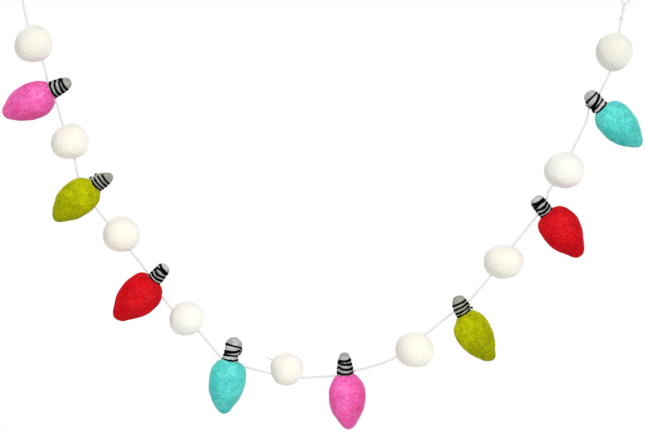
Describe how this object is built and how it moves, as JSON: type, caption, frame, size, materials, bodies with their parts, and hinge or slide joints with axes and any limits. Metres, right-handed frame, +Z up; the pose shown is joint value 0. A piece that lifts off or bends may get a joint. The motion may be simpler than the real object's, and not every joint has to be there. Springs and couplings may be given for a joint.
{
  "type": "felt garland",
  "caption": "Hanging felt garland of coloured light-bulb shapes and white balls threaded in turn on a string with a tied loop at each end.",
  "frame": {"origin": "where a hook bears on the inside of the left hanging loop", "axes": "+X to the right along the garland's span, +Y to the back, +Z up; the garland hangs in the XZ plane and its front faces -Y"},
  "size_m": [0.6422, 0.0437, 0.4723],
  "materials": {
    "white": "matte needle-felted wool",
    "pink": "matte needle-felted wool",
    "lime": "matte needle-felted wool",
    "red": "matte needle-felted wool",
    "turquoise": "matte needle-felted wool",
    "grey": "matte needle-felted wool",
    "black": "twisted yarn",
    "string": "twisted white string"
  },
  "bodies": {
    "root": {"string": "string", "ball_1": "white", "ball_2": "white", "ball_3": "white", "ball_4": "white", "ball_5": "white", "ball_6": "white", "ball_7": "white", "ball_8": "white", "ball_9": "white", "bulb_1_body": "pink", "bulb_1_base": "grey", "bulb_1_winding": "black", "bulb_2_body": "lime", "bulb_2_base": "grey", "bulb_2_winding": "black", "bulb_3_body": "red", "bulb_3_base": "grey", "bulb_3_winding": "black", "bulb_4_body": "turquoise", "bulb_4_base": "grey", "bulb_4_winding": "black", "bulb_5_body": "pink", "bulb_5_base": "grey", "bulb_5_winding": "black", "bulb_6_body": "lime", "bulb_6_base": "grey", "bulb_6_winding": "black", "bulb_7_body": "red", "bulb_7_base": "grey", "bulb_7_winding": "black", "bulb_8_body": "turquoise", "bulb_8_base": "grey", "bulb_8_winding": "black"}
  },
  "joints": []
}
